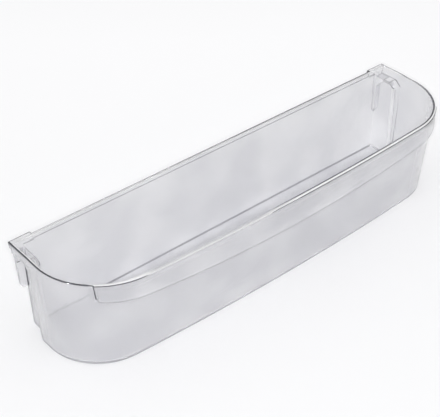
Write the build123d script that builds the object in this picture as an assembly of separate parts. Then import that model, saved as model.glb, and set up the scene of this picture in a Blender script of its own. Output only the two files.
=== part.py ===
from build123d import *
import math
import os

# Fridge door shelf: one clear moulding, millimetres, +Z up, front faces -Y.

# Tub, measured at the rim
length = 470.0          # end to end
depth = 114.9           # rear face to front wall, on the centre line
height = 99.4           # base to rim
front_bow = 9.2         # how far the front wall bows out between its ends
rim_flat = 14.5         # straight part of each end in front of the slot, at the rim
rim_land = 1.0          # upright strip at the rim, above the leaning walls

# Tub, towards the base
end_lean = 3.7          # each end leans in by this much from rim to base
front_lean = 12.3       # the front leans in by this much from rim to base
base_flat = 11.5        # straight part of each end in front of the slot, at the base
base_round = 3.0        # rounded edge under the base

# Skin
wall = 2.2
floor = 2.5
inner_round = 2.5       # rounded corner between floor and walls inside
rim_round = 0.6         # softened edges of the rim

# Apron moulded on the front under the rim
apron_step = 2.5        # stands this far out from the front wall at the rim
apron_side = 0.5        # its curve would pass this far outside the end walls
apron_skin = 1.8        # its own thickness
apron_length = 425.0    # along the top
apron_slant = 1.8       # each end runs in by this much on the way down
apron_end = 18.0        # height at the ends
apron_middle = 29.0     # height at the centre, where the lower edge dips
apron_round = 4.0       # rounded lower corners
apron_root = 6.0        # solid strip along the top, above the gap behind the apron

# Slot at each end that drops over the lug on the door
slot_front = 26.4       # slot reaches this far forward of the rear face
slot_depth = 7.6        # slot goes this far in from the end wall at the base
slot_lean = 0.6         # slot floor leans out by this much up to the slot's top
slot_cover = 10.3       # from the slot's top up to the rim
slot_drop = 5.3         # slanted shoulder at the top front: drop
slot_run = 7.0          # slanted shoulder at the top front: run
slot_round = 1.2        # rounded inner corner of the slot

# Ear that hooks behind the lug, and the web that stiffens its root
ear_length = 51.4       # from the rim down to the ear's lower edge
ear_back = 2.5          # stands this far behind the rear wall
ear_inset = 2.4         # set in from the end wall
ear_round = 3.5         # rounded lower corner
web_run = 9.5           # web under the slot's top, along the slot
web_drop = 10.5         # web under the slot's top, down the ear

# Tab at each rear top corner, the lip between them and the raised rim over each slot
tab_length = 22.8
tab_drop = 6.0          # reaches this far below the rim
tab_round = 1.2         # rounded top corner of the tab
lip_drop = 4.5
lip_back = 1.0
rise = 0.7              # tabs and the rim above each slot stand this much higher
rise_end = 6.5          # length of the slope down to the ordinary rim

# Places that follow from the sizes above
half = length / 2
rear = (depth + apron_step - ear_back) / 2
front_radius = (half ** 2 + front_bow ** 2) / (2 * front_bow)
land_low = height - rim_land
slot_top = height - slot_cover
ear_bottom = height - ear_length
over = height / 10      # cutters run past the faces they cut by this much


def share_up(z):
    # 0 at the base, 1 from the foot of the upright strip at the rim
    return min(z / land_low, 1)


def end_at(z):
    return half - end_lean * (1 - share_up(z))


def slot_face_at(z):
    return end_at(0) - slot_depth + slot_lean * z / slot_top


def corner_for(half_length, front_y, flat):
    # radius of the front corners that leaves so much of the end wall straight
    reach = front_y + front_radius - (rear - slot_front - wall - flat)
    return (front_radius ** 2 - half_length ** 2 - reach ** 2) / (2 * (front_radius - half_length))


def outline(half_length, rear_y, front_y, radius, corner, z):
    # straight back and ends, bowed front, round front corners
    centre_y = front_y + radius
    corner_x = half_length - corner
    corner_y = centre_y - math.sqrt((radius - corner) ** 2 - corner_x ** 2)
    turn = math.atan2(corner_y - centre_y, corner_x)
    meet_x = radius * math.cos(turn)
    meet_y = centre_y + radius * math.sin(turn)
    bend_x = corner_x + corner * math.cos(turn / 2)
    bend_y = corner_y + corner * math.sin(turn / 2)
    edges = [
        Line((-half_length, rear_y), (half_length, rear_y)),
        Line((half_length, rear_y), (half_length, corner_y)),
        ThreePointArc((half_length, corner_y), (bend_x, bend_y), (meet_x, meet_y)),
        ThreePointArc((meet_x, meet_y), (0, front_y), (-meet_x, meet_y)),
        ThreePointArc((-meet_x, meet_y), (-bend_x, bend_y), (-half_length, corner_y)),
        Line((-half_length, corner_y), (-half_length, rear_y)),
    ]
    return Pos(0, 0, z) * make_face(edges)


rim_corner = corner_for(half, rear - depth, rim_flat)
base_corner = corner_for(end_at(0), rear - depth + front_lean, base_flat)


def tub_section(z, inset):
    share = share_up(z)
    corner = base_corner + (rim_corner - base_corner) * share - inset
    front_y = rear - depth + front_lean * (1 - share) + inset
    return outline(end_at(z) - inset, rear + over, front_y, front_radius - inset, corner, z)


def tub_form(z_low, z_high, inset):
    # leaning walls with an upright strip on top, made past the rear face, then cut flat there
    form = loft([tub_section(z_low, inset), tub_section(land_low, inset)], ruled=True)
    form = form + extrude(tub_section(land_low, inset), amount=z_high - land_low, dir=(0, 0, 1))
    return form & Pos(0, rear - inset - depth, height / 2) * Box(2 * length, 2 * depth, 2 * height)


def upright(points, y_low, y_high):
    # a plate drawn in the XZ plane and carried from one Y to another
    face = make_face(Polyline(*[(x, y_low, z) for x, z in points], close=True))
    return extrude(face, amount=y_high - y_low, dir=(0, 1, 0))


def both_ends(shape):
    return shape + mirror(shape, Plane.YZ)


# Tub body and the hollow inside it
tub = tub_form(0, height, 0)
tub = fillet(tub.edges().group_by(Axis.Z)[0], base_round)
hollow = tub_form(floor, height + over, wall)


def slot_block(skin):
    # the slot's own space, or with a skin round it the housing that stands inside the tub
    low = -over
    top = slot_top + skin
    front = rear - slot_front - skin
    points = [
        (slot_face_at(low) - skin, low),
        (slot_face_at(top) - skin, top),
        (half + over, top),
        (half + over, low),
    ]
    block = upright(points, front, rear + over)
    front_face = block.faces().sort_by(Axis.Y)[0]
    shoulder = block.edges().filter_by(Axis.X).group_by(Axis.Z)[-1].sort_by(Axis.Y)[0]
    block = chamfer(shoulder, slot_drop, slot_run, reference=front_face)
    corner = block.edges().group_by(Axis.Y)[0].filter_by(Axis.X, reverse=True).sort_by(Axis.X)[0]
    return fillet(corner, slot_round + skin)


hollow = hollow - both_ends(slot_block(wall))
hollow = fillet(hollow.edges().group_by(Axis.Z)[0], inner_round)
body = tub - both_ends(slot_block(0))

# Apron: crescent face, closed top and ends, open below
apron_half = apron_length / 2
apron_low = apron_half - apron_slant
apron_bottom = height - apron_end
apron_dip = height - apron_middle
apron_edges = [
    Line((-apron_half, 0, height), (apron_half, 0, height)),
    Line((apron_half, 0, height), (apron_low, 0, apron_bottom)),
    ThreePointArc((apron_low, 0, apron_bottom), (0, 0, apron_dip), (-apron_low, 0, apron_bottom)),
    Line((-apron_low, 0, apron_bottom), (-apron_half, 0, height)),
]
crescent = extrude(make_face(apron_edges), amount=depth, dir=(0, -1, 0))
crescent = fillet(crescent.edges().filter_by(Axis.Y).group_by(Axis.Z)[0], apron_round)


def apron_prism(inset):
    # upright curve that the apron's face follows, or its back with its thickness as the inset
    step = apron_step - inset
    side = apron_side - inset
    base = outline(half + side, rear, rear - depth - step, front_radius + step, rim_corner + step, 0)
    return extrude(base, amount=height)


gap_half = apron_low - apron_skin
gap_top = height - apron_root
gap_points = [(-gap_half, 0), (gap_half, 0), (gap_half, gap_top), (-gap_half, gap_top)]
gap = apron_prism(apron_skin) & upright(gap_points, rear - depth - over, 0)
apron = (apron_prism(0) & crescent) - (gap - tub)
body = body + apron - hollow
body = fillet(body.edges().group_by(Axis.Z)[-1], rim_round)

# Ears with their webs
ear_in = slot_face_at(ear_bottom) - wall
ear_points = [
    (ear_in, ear_bottom),
    (end_at(ear_bottom) - ear_inset, ear_bottom),
    (end_at(land_low) - ear_inset, land_low),
    (ear_in, land_low),
]
ear = upright(ear_points, rear - wall, rear + ear_back)
ear = fillet(ear.edges().filter_by(Axis.Y).group_by(Axis.Z)[0].sort_by(Axis.X)[-1], ear_round)

web_low = slot_top - web_drop
web_high = slot_top + wall / 2
web_in = slot_face_at(slot_top) - wall / 2
web_points = [
    (web_in, web_low),
    (end_at(web_low) - ear_inset, web_low),
    (end_at(web_high) - ear_inset, web_high),
    (web_in, web_high),
]
web = upright(web_points, rear - wall - web_run, rear - wall / 2)
web_face = web.faces().sort_by(Axis.Y)[0]
web_edge = web.edges().filter_by(Axis.X).group_by(Axis.Z)[0].sort_by(Axis.Y)[0]
web = chamfer(web_edge, web_drop, web_run, reference=web_face)

# Tabs, lip and raised rim
tab_in = half - tab_length
tab_low = height - tab_drop
tab_high = height + rise
tab_points = [
    (tab_in, tab_low),
    (end_at(tab_low), tab_low),
    (half, land_low),
    (half, tab_high),
    (tab_in, tab_high),
]
tab = upright(tab_points, rear - wall / 2, rear + ear_back)
tab = fillet(tab.edges().filter_by(Axis.Y).group_by(Axis.Z)[-1].sort_by(Axis.X)[0], tab_round)

lip_low = height - lip_drop
lip_half = half - tab_length / 2
lip_points = [(-lip_half, lip_low), (lip_half, lip_low), (lip_half, height), (-lip_half, height)]
lip = upright(lip_points, rear - wall / 2, rear + lip_back)
lip = fillet(lip.edges().filter_by(Axis.X).group_by(Axis.Z)[-1].sort_by(Axis.Y)[-1], rim_round)

rise_front = rear - slot_front
rise_points = [
    (half - wall, rear - wall / 2, height - rise),
    (half - wall, rear - wall / 2, height + rise),
    (half - wall, rise_front, height + rise),
    (half - wall, rise_front - 2 * rise_end, height - rise),
]
ridge = extrude(make_face(Polyline(*rise_points, close=True)), amount=wall, dir=(1, 0, 0))
ridge = fillet(ridge.edges().filter_by(Axis.Y).group_by(Axis.Z)[-1], rim_round)

body = body + both_ends(ear) + both_ends(web) + both_ends(tab) + lip + both_ends(ridge)

door_shelf = body
os.makedirs("parts", exist_ok=True)
export_step(door_shelf, "parts/door_shelf.step")
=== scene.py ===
import bpy
import bmesh
import math
from mathutils import Matrix, Vector


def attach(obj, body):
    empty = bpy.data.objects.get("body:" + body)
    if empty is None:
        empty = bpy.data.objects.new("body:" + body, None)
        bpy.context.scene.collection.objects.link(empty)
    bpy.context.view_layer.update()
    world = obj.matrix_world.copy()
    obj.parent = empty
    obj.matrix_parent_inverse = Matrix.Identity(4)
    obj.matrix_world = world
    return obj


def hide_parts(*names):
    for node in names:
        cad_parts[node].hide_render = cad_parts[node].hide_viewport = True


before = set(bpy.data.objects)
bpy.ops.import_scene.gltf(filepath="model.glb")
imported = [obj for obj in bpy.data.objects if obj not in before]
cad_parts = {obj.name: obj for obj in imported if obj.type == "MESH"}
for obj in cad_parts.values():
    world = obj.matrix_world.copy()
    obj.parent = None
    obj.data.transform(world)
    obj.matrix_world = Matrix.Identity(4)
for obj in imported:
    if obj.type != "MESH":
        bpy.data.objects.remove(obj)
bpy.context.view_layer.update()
print("frame loaded:", len(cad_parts), "node")

far = 1.0  # metres, past the shelf in any direction


def linear(hexColour, alpha=1.0):
    # sRGB hex to linear colour
    parts = [int(hexColour[i:i + 2], 16) / 255 for i in (1, 3, 5)]
    parts = [p / 12.92 if p <= 0.04045 else ((p + 0.055) / 1.055) ** 2.4 for p in parts]
    return (*parts, alpha)


def addNode(tree, kind, settings=None, links=None):
    # settings: an attribute or an input to its value
    # links: an input to an output socket, or to a node for its first output
    # inputs go by name or number: a Mix node's numbers are 2 and 3, its colours 6 and 7
    node = tree.nodes.new(kind)
    for name, value in (settings or {}).items():
        if isinstance(name, int) or name in node.inputs:
            node.inputs[name].default_value = value
        else:
            setattr(node, name, value)
    for name, source in (links or {}).items():
        socket = source.outputs[0] if isinstance(source, bpy.types.Node) else source
        tree.links.new(socket, node.inputs[name])
    return node


def newMaterial(name):
    material = bpy.data.materials.new(name)
    material.use_nodes = True
    material.node_tree.nodes.clear()
    return material


# camera at the photograph's viewing angle, for a picture 440 wide and 417 high
view = {
    "place": (-0.559891, -0.626141, 0.682280),
    "right": (0.76445976, -0.64444587, -0.01705290),
    "up": (0.39657710, 0.44924686, 0.80056472),
    "focalPixels": 1083.70,
    "pictureWidth": 440,
    "sensor": 36.0,
    "clipEnd": 50.0,
}
right = Vector(view["right"]).normalized()
up = Vector(view["up"])
up = (up - right * up.dot(right)).normalized()
back = right.cross(up)
cameraData = bpy.data.cameras.new("camera")
cameraData.sensor_fit = "HORIZONTAL"
cameraData.sensor_width = view["sensor"]
cameraData.lens = view["focalPixels"] / view["pictureWidth"] * view["sensor"]
cameraData.clip_end = view["clipEnd"]
camera = bpy.data.objects.new("camera", cameraData)
bpy.context.scene.collection.objects.link(camera)
aim = Matrix((right, up, back)).transposed().to_4x4()
camera.matrix_world = Matrix.Translation(view["place"]) @ aim
bpy.context.scene.camera = camera
print("camera set")

# the rim seen from above, in metres, and the thin dark lines painted along its edges: painted shade for the
# dark glints of the rounded edges, turning pale where a painted highlight lies
rim = {
    "cornerX": 0.168,               # middle of the round front corner
    "cornerY": 0.01435,
    "cornerRadius": 0.067,          # outer edge of the corner, carried on along front and ends
    "bowRadius": 3.006,             # bow of the front
    "innerLine": 0.0004,            # front: dark from this far inside the outer edge
    "frontFades": (-0.015, 0.035),  # y where the front's line fades out along the ends
    "palerFrom": (-0.178, -0.160),  # x where the front's outer line turns pale, a painted highlight
    "palerTo": (-0.050, 0.000),     # x where both of its lines are dark again
    "paler": 0.75,
    "flatInner": 0.0014,            # front: the flat between its two rounded edges
    "flatOuter": 0.0017,
    "outerLine": 0.0014,            # ends: dark out from this far inside the outer edge
    "endFrom": -0.033,              # y where the ends' lines start, behind the apron
    "backLine": 0.0568,             # back: dark from this y
    "backFrom": (-0.180, 0.040),    # x where the back's line goes from pale to dark
    "backPale": 0.5,
    "backFlat": 0.0546,             # back: less of the painted white highlight from this y
    "backLessHighlight": 0.5,
    "tabFrom": 0.2118,              # tabs: this far from the middle
    "tabLine": 0.0593,              # tabs: dark from this y
    "above": 0.0987,                # lines show above this height
}


def rimLines(tree, parts):
    # lines: painted shade, 1 on the inner edge of the front, and on the outer edges of the ends, back and
    # tabs and how much less of the painted white highlight the flat of the rim gets
    x, y, z = parts.outputs
    along = addNode(tree, "ShaderNodeMath", {"operation": "ABSOLUTE"}, {0: x})
    # the front is straightened first, so that its edge runs level with the corner's
    inBow = addNode(tree, "ShaderNodeMath", {"operation": "MINIMUM", 1: rim["cornerX"]}, {0: along})
    square = addNode(tree, "ShaderNodeMath", {"operation": "MULTIPLY"}, {0: inBow, 1: inBow})
    bend = 0.5 / rim["bowRadius"]
    bow = addNode(tree, "ShaderNodeMath", {
        "operation": "MULTIPLY_ADD", 1: bend, 2: -bend * rim["cornerX"] ** 2}, {0: square})
    straight = addNode(tree, "ShaderNodeMath", {"operation": "SUBTRACT"}, {0: bow, 1: y})
    flat = addNode(tree, "ShaderNodeCombineXYZ", links={"X": along, "Y": straight})
    past = addNode(tree, "ShaderNodeVectorMath", {
        "operation": "SUBTRACT", 1: (rim["cornerX"], -rim["cornerY"], 0)}, {0: flat})
    quarter = addNode(tree, "ShaderNodeVectorMath", {"operation": "MAXIMUM", 1: (0, 0, 0)}, {0: past})
    span = addNode(tree, "ShaderNodeVectorMath", {"operation": "LENGTH"}, {0: quarter})
    reach = span.outputs["Value"]
    # front
    inner = addNode(tree, "ShaderNodeMath", {
        "operation": "LESS_THAN", 1: rim["cornerRadius"] - rim["innerLine"]}, {0: reach})
    inFront = addNode(tree, "ShaderNodeMapRange", {
        "From Min": rim["frontFades"][0], "From Max": rim["frontFades"][1],
        "To Min": 1.0, "To Max": 0.0}, {"Value": y})
    rising = addNode(tree, "ShaderNodeMapRange", {
        "From Min": rim["palerFrom"][0], "From Max": rim["palerFrom"][1],
        "To Max": rim["paler"]}, {"Value": x})
    falling = addNode(tree, "ShaderNodeMapRange", {
        "From Min": rim["palerTo"][0], "From Max": rim["palerTo"][1],
        "To Min": 1.0, "To Max": 0.0}, {"Value": x})
    strength = addNode(tree, "ShaderNodeMath", {
        "operation": "MULTIPLY_ADD", 1: -rim["paler"], 2: 1.0}, {0: falling})
    innerFront = addNode(tree, "ShaderNodeMath", {"operation": "MULTIPLY"}, {0: inner, 1: inFront})
    frontLine = addNode(tree, "ShaderNodeMath", {"operation": "MULTIPLY"}, {0: innerFront, 1: strength})
    # ends
    outer = addNode(tree, "ShaderNodeMath", {
        "operation": "GREATER_THAN", 1: rim["cornerRadius"] - rim["outerLine"]}, {0: reach})
    atEnd = addNode(tree, "ShaderNodeMath", {"operation": "GREATER_THAN", 1: rim["endFrom"]}, {0: y})
    endLine = addNode(tree, "ShaderNodeMath", {"operation": "MULTIPLY"}, {0: outer, 1: atEnd})
    # back and tabs
    onTab = addNode(tree, "ShaderNodeMath", {"operation": "GREATER_THAN", 1: rim["tabFrom"]}, {0: along})
    lineAt = addNode(tree, "ShaderNodeMath", {
        "operation": "MULTIPLY_ADD", 1: rim["tabLine"] - rim["backLine"], 2: rim["backLine"]}, {0: onTab})
    atBack = addNode(tree, "ShaderNodeMath", {"operation": "GREATER_THAN"}, {0: y, 1: lineAt})
    darker = addNode(tree, "ShaderNodeMapRange", {
        "From Min": rim["backFrom"][0], "From Max": rim["backFrom"][1],
        "To Min": rim["backPale"], "To Max": 1.0}, {"Value": x})
    backStrength = addNode(tree, "ShaderNodeMath", {"operation": "MAXIMUM"}, {0: darker, 1: onTab})
    backLine = addNode(tree, "ShaderNodeMath", {"operation": "MULTIPLY"}, {0: atBack, 1: backStrength})
    # all of them, on the rim only
    sides = addNode(tree, "ShaderNodeMath", {"operation": "MAXIMUM"}, {0: frontLine, 1: endLine})
    every = addNode(tree, "ShaderNodeMath", {"operation": "MAXIMUM"}, {0: sides, 1: backLine})
    onTop = addNode(tree, "ShaderNodeMath", {"operation": "GREATER_THAN", 1: rim["above"]}, {0: z})
    lines = addNode(tree, "ShaderNodeMath", {"operation": "MULTIPLY"}, {0: every, 1: onTop})
    # where the front's painted lines are pale, the flat between its rounded edges gets less painted
    # highlight and is the greyer part
    fromInner = addNode(tree, "ShaderNodeMath", {
        "operation": "GREATER_THAN", 1: rim["cornerRadius"] - rim["flatInner"]}, {0: reach})
    toOuter = addNode(tree, "ShaderNodeMath", {
        "operation": "LESS_THAN", 1: rim["cornerRadius"] + rim["flatOuter"]}, {0: reach})
    flatTop = addNode(tree, "ShaderNodeMath", {"operation": "MULTIPLY"}, {0: fromInner, 1: toOuter})
    paler = addNode(tree, "ShaderNodeMath", {"operation": "MULTIPLY"}, {0: rising, 1: falling})
    lessHighlightFront = addNode(tree, "ShaderNodeMath", {"operation": "MULTIPLY"}, {0: flatTop, 1: paler})
    backFlat = addNode(tree, "ShaderNodeMath", {"operation": "GREATER_THAN", 1: rim["backFlat"]}, {0: y})
    lessHighlightBack = addNode(tree, "ShaderNodeMath", {"operation": "MULTIPLY", 1: rim["backLessHighlight"]}, {0: backFlat})
    lessHighlight = addNode(tree, "ShaderNodeMath", {"operation": "MAXIMUM"}, {0: lessHighlightFront, 1: lessHighlightBack})
    return lines, lessHighlight


# clear styrene from a polished mould: glassy walls with a faint grey haze in soft patches,
# slow ripples that bend what shows through, painted dark lines along thin edges for their dark glints,
# painted white highlight on the rim
plastic = {
    "ior": 1.57,
    "wallRoughness": (0.04, 0.08),  # clear patches, hazy patches
    "edgeRoughness": 0.03,
    "mattRoughness": 0.35,
    "wallTint": "#f6f6f7",
    "hazeTint": "#ececee",
    # painted shade of the dark edge lines, and below it the painted white highlight with the share of light
    # going through it
    "edgePaintedShade": "#34343a",
    "topPaintedHighlight": "#ffffff",
    "wallClear": 0.75,              # share of light that goes through
    "edgeClear": 1.0,
    "topClear": 0.3,
    "depthTint": "#dedde2",
    "density": 8.0,
    "lampLeft": "#c4c4c8",          # what a shadow keeps of the lamp
    "hazeSize": 0.045,              # patches 45 mm across
    "hazeDetail": 3.0,
    "hazeBand": (0.38, 0.62),
    "rippleSize": 0.016,            # waves 16 mm long
    "rippleDetail": 1.0,
    "rippleDepth": 0.000025,
}


def clearPlastic():
    material = newMaterial("clear styrene, moulded")
    tree = material.node_tree
    place = addNode(tree, "ShaderNodeTexCoord")
    parts = addNode(tree, "ShaderNodeSeparateXYZ", links={"Vector": place.outputs["Object"]})
    lines, lessHighlight = rimLines(tree, parts)
    # how much painted shade and painted white highlight each face was given, and how matt it is
    worn = addNode(tree, "ShaderNodeAttribute", {"attribute_name": "edge"})
    rimFace = addNode(tree, "ShaderNodeAttribute", {"attribute_name": "top"})
    blurred = addNode(tree, "ShaderNodeAttribute", {"attribute_name": "matt"})
    edge = addNode(tree, "ShaderNodeMath", {"operation": "MAXIMUM"}, {0: worn.outputs["Fac"], 1: lines})
    lessWhite = addNode(tree, "ShaderNodeMath", {"operation": "MAXIMUM"}, {0: lines, 1: lessHighlight})
    top = addNode(tree, "ShaderNodeMath", {
        "operation": "SUBTRACT", "use_clamp": True}, {0: rimFace.outputs["Fac"], 1: lessWhite})
    # colour: hazy walls, then painted shade along the dark edges, then the painted white highlight of the
    # rim
    cloud = addNode(tree, "ShaderNodeTexNoise", {
        "Scale": 1 / plastic["hazeSize"], "Detail": plastic["hazeDetail"]}, {
        "Vector": place.outputs["Object"]})
    haze = addNode(tree, "ShaderNodeMapRange", {
        "From Min": plastic["hazeBand"][0], "From Max": plastic["hazeBand"][1]}, {"Value": cloud})
    wall = addNode(tree, "ShaderNodeMix", {
        "data_type": "RGBA", 6: linear(plastic["wallTint"]), 7: linear(plastic["hazeTint"])}, {0: haze})
    dark = addNode(tree, "ShaderNodeMix", {
        "data_type": "RGBA", 7: linear(plastic["edgePaintedShade"])}, {0: edge, 6: wall.outputs[2]})
    colourWithPaintedLight = addNode(tree, "ShaderNodeMix", {
        "data_type": "RGBA", 7: linear(plastic["topPaintedHighlight"])}, {0: top, 6: dark.outputs[2]})
    clear = addNode(tree, "ShaderNodeMapRange", {
        "To Min": plastic["wallClear"], "To Max": plastic["edgeClear"]}, {"Value": edge})
    veil = addNode(tree, "ShaderNodeMix", {3: plastic["topClear"]}, {0: top, 2: clear})
    polish = addNode(tree, "ShaderNodeMapRange", {
        "To Min": plastic["wallRoughness"][0], "To Max": plastic["wallRoughness"][1]}, {"Value": haze})
    gloss = addNode(tree, "ShaderNodeMix", {3: plastic["edgeRoughness"]}, {0: edge, 2: polish})
    rough = addNode(tree, "ShaderNodeMix", {3: plastic["mattRoughness"]}, {
        0: blurred.outputs["Fac"], 2: gloss})
    wave = addNode(tree, "ShaderNodeTexNoise", {
        "Scale": 1 / plastic["rippleSize"], "Detail": plastic["rippleDetail"]}, {
        "Vector": place.outputs["Object"]})
    ripple = addNode(tree, "ShaderNodeBump", {
        "Strength": 1.0, "Distance": plastic["rippleDepth"]}, {"Height": wave})
    shader = addNode(tree, "ShaderNodeBsdfPrincipled", {"IOR": plastic["ior"]}, {
        "Base Color": colourWithPaintedLight.outputs[2],
        "Roughness": rough,
        "Transmission Weight": veil,
        "Normal": ripple,
    })
    inside = addNode(tree, "ShaderNodeVolumeAbsorption", {
        "Color": linear(plastic["depthTint"]), "Density": plastic["density"]})
    # the lamp shines through the walls, so the shadow stays pale
    path = addNode(tree, "ShaderNodeLightPath")
    passing = addNode(tree, "ShaderNodeBsdfTransparent", {"Color": linear(plastic["lampLeft"])})
    both = addNode(tree, "ShaderNodeMixShader", links={
        0: path.outputs["Is Shadow Ray"], 1: shader, 2: passing})
    addNode(tree, "ShaderNodeOutputMaterial", links={"Surface": both, "Volume": inside})
    return material


# the moulding, its facets joined and smoothed, its sharp edges a little worn
shelf = {
    "node": "door_shelf",
    "joinWithin": 0.00002,
    "flatWithin": 0.1,        # degrees
    "smoothBelow": 34,        # degrees
    "worn": 0.0006,
    "hookWorn": 0.0009,
    "wornSteps": 3,
    "wornProfile": 0.5,
    "tinyEdge": 0.0005,       # edges shorter than this aren't worn
    "middleY": 0.02,          # outward is away from here
    # how dark an edge's painted shade line is, how white its painted highlight, how matt
    "apronEnd": 1.0,
    "apronFoot": 0.7,
    "floorLine": 0.8,
    "housingLine": 0.2,
    "housingBackWhite": 0.6,
    "housingWhite": 0.3,
    "housingMatt": 0.5,
    # how much of a face's normal lies along an axis
    "levelFrom": 0.999,
    "tiltFrom": 0.02,
    "endOnFrom": 0.9,
    "downFrom": 0.7,
    "turnedFrom": 0.18,
    "uprightTo": 0.3,
    "floorTilt": (0.4, 0.95),
    # lowest and highest x, y and z, with x counted from the middle
    "places": {
        "rim": {"z": (0.09878, far)},
        "frontRim": {"y": (-far, -0.02)},
        "tabEnd": {"x": (0.2115, 0.2139), "y": (0.0563, far)},
        "tabInner": {"x": (-far, 0.2139), "y": (0.0574, far), "z": (0.093, far)},
        "apron": {"y": (-far, -0.03), "z": (0.066, 0.09878)},
        "apronEnd": {"x": (0.205, far), "y": (-far, -0.03), "z": (0.066, 0.09878)},
        "apronLip": {"x": (-far, 0.206), "y": (-far, -0.03), "z": (0.066, 0.0825)},
        "gapTop": {"y": (-far, 0), "z": (0.091, far)},
        "floorCorner": {"y": (0.05, far), "z": (0.0025, 0.005)},
        "base": {"z": (-far, 0.001)},
        "housingCorner": {"x": (0.2205, far), "y": (0.0285, 0.0335), "z": (-far, 0.09)},
        "housingBack": {"x": (0.2, 0.2238), "y": (0.053, 0.0556), "z": (-far, 0.09)},
        "housingTop": {"x": (0.2, far), "y": (0.025, 0.0556), "z": (0.0896, far)},
        "hook": {"x": (0.2, far), "y": (0.054, far), "z": (-far, 0.0885)},
    },
}


def within(spot, name):
    where = {"x": abs(spot.x), "y": spot.y, "z": spot.z}
    return all(low < where[axis] < high for axis, (low, high) in shelf["places"][name].items())


def frontStrength(x, outward):
    # the front rim's edges are paler where they catch the light, the outer one between its ends
    rising = (x - rim["palerFrom"][0]) / (rim["palerFrom"][1] - rim["palerFrom"][0])
    falling = (rim["palerTo"][1] - x) / (rim["palerTo"][1] - rim["palerTo"][0])
    share = min(1.0, rising, falling) if outward else min(1.0, falling)
    return 1 - rim["paler"] * max(0.0, share)


# paints shade lines and white highlights into the face marks
def paintShadeAndHighlight(faces, edge, top, matt):
    for face in faces:
        spot = face.calc_center_median()
        normal = face.normal
        inward = -math.copysign(normal.x, normal.x * spot.x)
        outward = normal.x * spot.x + normal.y * (spot.y - shelf["middleY"]) > 0
        onRim = within(spot, "rim")
        if onRim and shelf["tiltFrom"] < abs(normal.z) < shelf["levelFrom"]:
            # rounded edges of the rim: painted shade line on the outer ones, painted white highlight on the
            # inner ones
            atTabEnd = within(spot, "tabEnd")
            onBack = spot.y > rim["backLine"] and abs(spot.x) < rim["tabFrom"] and not atTabEnd
            face[edge] = float(outward or atTabEnd)
            if within(spot, "frontRim"):
                face[edge] = frontStrength(spot.x, outward)
            elif onBack:
                face[edge] = rim["backPale"] * outward
            face[top] = 1.0 - face[edge]
        elif onRim and normal.z > shelf["levelFrom"]:
            # the flat of the rim: painted white highlight
            face[top] = 1.0
        elif within(spot, "apronEnd") and abs(normal.x) > shelf["endOnFrom"]:
            # painted shade line on the apron's end
            face[edge] = shelf["apronEnd"]
        elif within(spot, "apron") and normal.z < -shelf["downFrom"]:
            # painted shade line under the apron
            face[edge] = shelf["apronFoot"]
        elif (within(spot, "floorCorner") and normal.y < -shelf["turnedFrom"]
              and shelf["floorTilt"][0] < normal.z < shelf["floorTilt"][1]):
            # painted shade line in the crease between floor and back wall
            face[edge] = shelf["floorLine"]
        elif (within(spot, "housingCorner") and abs(normal.z) < shelf["uprightTo"]
              and inward > shelf["turnedFrom"] and normal.y < -shelf["turnedFrom"]):
            # rounded corner of the slot's housing inside the tub: made matt, with a painted highlight
            face[matt] = shelf["housingMatt"]
            face[top] = shelf["housingWhite"]
        elif within(spot, "tabInner") and inward > shelf["turnedFrom"]:
            # painted shade line on the tab's inner face
            face[edge] = 1.0


# paints shade lines on the worn edges, and a painted highlight at the back of the housing
def paintShadeOnWornEdges(faces, edge, top, matt):
    for face in faces:
        spot = face.calc_center_median()
        atBack = within(spot, "housingBack")
        if atBack or within(spot, "housingTop"):
            face[edge] = shelf["housingLine"]
        else:
            face[edge] = shelf["apronFoot"] if within(spot, "apronLip") else 1.0
        face[top] = shelf["housingBackWhite"] if atBack else 0.0
        face[matt] = 0.0


def sharpEdges(work):
    # rim and base have their rounding already, and the gap behind the apron is too narrow for it
    kept = {v for e in work.edges if e.calc_length() < shelf["tinyEdge"] for v in e.verts}
    kept.update(v for v in work.verts if any(within(v.co, name) for name in ("rim", "base", "gapTop")))
    sharp = [e for e in work.edges if len(e.link_faces) == 2
             and e.calc_face_angle(0) > math.radians(shelf["smoothBelow"])
             and not kept.intersection(e.verts)]
    hook = [e for e in sharp if all(within(v.co, "hook") for v in e.verts)]
    hookEnds = {v for e in hook for v in e.verts}
    return [e for e in sharp if not hookEnds.intersection(e.verts)], hook


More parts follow.
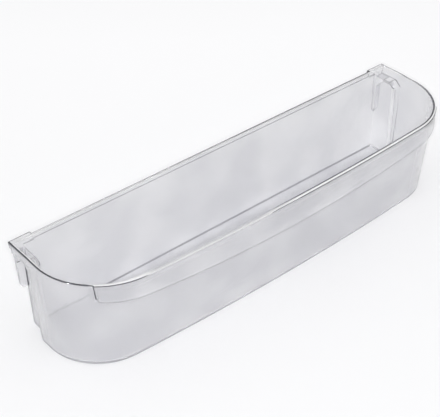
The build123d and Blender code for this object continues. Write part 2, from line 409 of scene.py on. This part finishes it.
def makeShelf():
    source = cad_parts[shelf["node"]]
    mesh = bpy.data.meshes.new("doorShelf")
    work = bmesh.new()
    work.from_mesh(source.data)
    bmesh.ops.remove_doubles(work, verts=work.verts, dist=shelf["joinWithin"])
    bmesh.ops.dissolve_limit(
        work, angle_limit=math.radians(shelf["flatWithin"]), use_dissolve_boundaries=False,
        verts=work.verts, edges=work.edges, delimit=set())
    edge = work.faces.layers.float.new("edge")
    top = work.faces.layers.float.new("top")
    matt = work.faces.layers.float.new("matt")
    paintShadeAndHighlight(work.faces, edge, top, matt)
    others, hook = sharpEdges(work)
    wornCount = len(others) + len(hook)
    made = []
    for edges, width in ((others, shelf["worn"]), (hook, shelf["hookWorn"])):
        made += bmesh.ops.bevel(
            work, geom=edges, offset=width, offset_type="OFFSET", segments=shelf["wornSteps"],
            profile=shelf["wornProfile"], affect="EDGES", clamp_overlap=False, loop_slide=False,
            material=-1)["faces"]
    paintShadeOnWornEdges(made, edge, top, matt)
    bmesh.ops.dissolve_degenerate(work, dist=shelf["joinWithin"], edges=work.edges)
    work.to_mesh(mesh)
    work.free()
    mesh.materials.clear()
    mesh.materials.append(clearPlastic())
    mesh.set_sharp_from_angle(angle=math.radians(shelf["smoothBelow"]))
    for polygon in mesh.polygons:
        polygon.use_smooth = True
    piece = bpy.data.objects.new("doorShelf", mesh)
    bpy.context.scene.collection.objects.link(piece)
    # large flat faces keep their own normal, and the rounded edges run into them
    weights = piece.modifiers.new("weights", "WEIGHTED_NORMAL")
    weights.mode = "FACE_AREA"
    weights.keep_sharp = True
    graph = bpy.context.evaluated_depsgraph_get()
    finished = bpy.data.meshes.new_from_object(piece.evaluated_get(graph))
    piece.modifiers.clear()
    piece.data = finished
    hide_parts(shelf["node"])
    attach(piece, "root")
    print("shelf:", len(finished.polygons), "faces,", wornCount, "worn edges")


makeShelf()

# pale floor, a lamp beside the lens and a graded room
studio = {
    "nearColour": "#ececed",
    "farColour": "#fafafb",
    "nearAt": -0.35,
    "farAt": 0.45,
    "floorHalf": 6.0,
    "floorDrop": 0.0002,      # keeps the floor clear of the shelf's base
    "lampStrength": 20.0,
    "lampRadius": 0.03,
    "roomTop": 0.80,
    "roomSide": 0.12,
    "sideUpTo": 0.35,
    "backdrop": "#f2f2f3",
}


def makeFloor():
    # matt board, a little brighter away from the lens
    half = studio["floorHalf"]
    level = -studio["floorDrop"]
    mesh = bpy.data.meshes.new("floor")
    corners = [(x * half, y * half, level) for x, y in ((-1, -1), (1, -1), (1, 1), (-1, 1))]
    mesh.from_pydata(corners, [], [(0, 1, 2, 3)])
    material = newMaterial("pale floor")
    tree = material.node_tree
    place = addNode(tree, "ShaderNodeTexCoord")
    away = Vector((-back.x, -back.y, 0)).normalized()
    along = addNode(tree, "ShaderNodeVectorMath", {"operation": "DOT_PRODUCT", 1: away}, {
        0: place.outputs["Object"]})
    share = addNode(tree, "ShaderNodeMapRange", {
        "From Min": studio["nearAt"], "From Max": studio["farAt"]}, {"Value": along.outputs["Value"]})
    ramp = addNode(tree, "ShaderNodeMix", {
        "data_type": "RGBA", 6: linear(studio["nearColour"]), 7: linear(studio["farColour"])}, {0: share})
    shader = addNode(tree, "ShaderNodeBsdfDiffuse", links={"Color": ramp.outputs[2]})
    addNode(tree, "ShaderNodeOutputMaterial", links={"Surface": shader})
    mesh.materials.append(material)
    floor = bpy.data.objects.new("floor", mesh)
    bpy.context.scene.collection.objects.link(floor)


def makeLamp():
    lampData = bpy.data.lights.new("key", "POINT")
    lampData.energy = 1.0
    lampData.shadow_soft_size = studio["lampRadius"]
    lampData.use_nodes = True
    tree = lampData.node_tree
    tree.nodes.clear()
    falloff = addNode(tree, "ShaderNodeLightFalloff", {"Strength": studio["lampStrength"]})
    glow = addNode(tree, "ShaderNodeEmission", links={"Strength": falloff.outputs["Constant"]})
    addNode(tree, "ShaderNodeOutputLight", links={"Surface": glow})
    lamp = bpy.data.objects.new("key", lampData)
    lamp.location = view["place"]
    bpy.context.scene.collection.objects.link(lamp)


def makeRoom():
    world = bpy.data.worlds.new("studio")
    world.use_nodes = True
    tree = world.node_tree
    tree.nodes.clear()
    place = addNode(tree, "ShaderNodeTexCoord")
    parts = addNode(tree, "ShaderNodeSeparateXYZ", links={"Vector": place.outputs["Generated"]})
    level = addNode(tree, "ShaderNodeMapRange", {
        "interpolation_type": "SMOOTHSTEP",
        "From Min": 0.0, "From Max": studio["sideUpTo"],
        "To Min": studio["roomSide"], "To Max": studio["roomTop"]}, {"Value": parts.outputs["Z"]})
    room = addNode(tree, "ShaderNodeBackground", {"Color": linear("#ffffff")}, {"Strength": level})
    # what the lens sees, straight or through the plastic, is a pale backdrop
    backdrop = addNode(tree, "ShaderNodeBackground", {"Color": linear(studio["backdrop"])})
    path = addNode(tree, "ShaderNodeLightPath")
    mirrored = addNode(tree, "ShaderNodeMath", {"operation": "MAXIMUM"}, {
        0: path.outputs["Is Camera Ray"], 1: path.outputs["Is Glossy Ray"]})
    seen = addNode(tree, "ShaderNodeMath", {"operation": "MAXIMUM"}, {
        0: mirrored, 1: path.outputs["Is Transmission Ray"]})
    sky = addNode(tree, "ShaderNodeMixShader", links={0: seen, 1: room, 2: backdrop})
    addNode(tree, "ShaderNodeOutputWorld", links={"Surface": sky})
    bpy.context.scene.world = world


makeFloor()
makeLamp()
makeRoom()
print("studio set")

# enough turns of the light for it to come through every wall
bounces = {
    "max_bounces": 32,
    "glossy_bounces": 16,
    "transmission_bounces": 32,
    "transparent_max_bounces": 32,
}
for name, most in bounces.items():
    setattr(bpy.context.scene.cycles, name, most)
bpy.context.scene.view_settings.view_transform = "Standard"
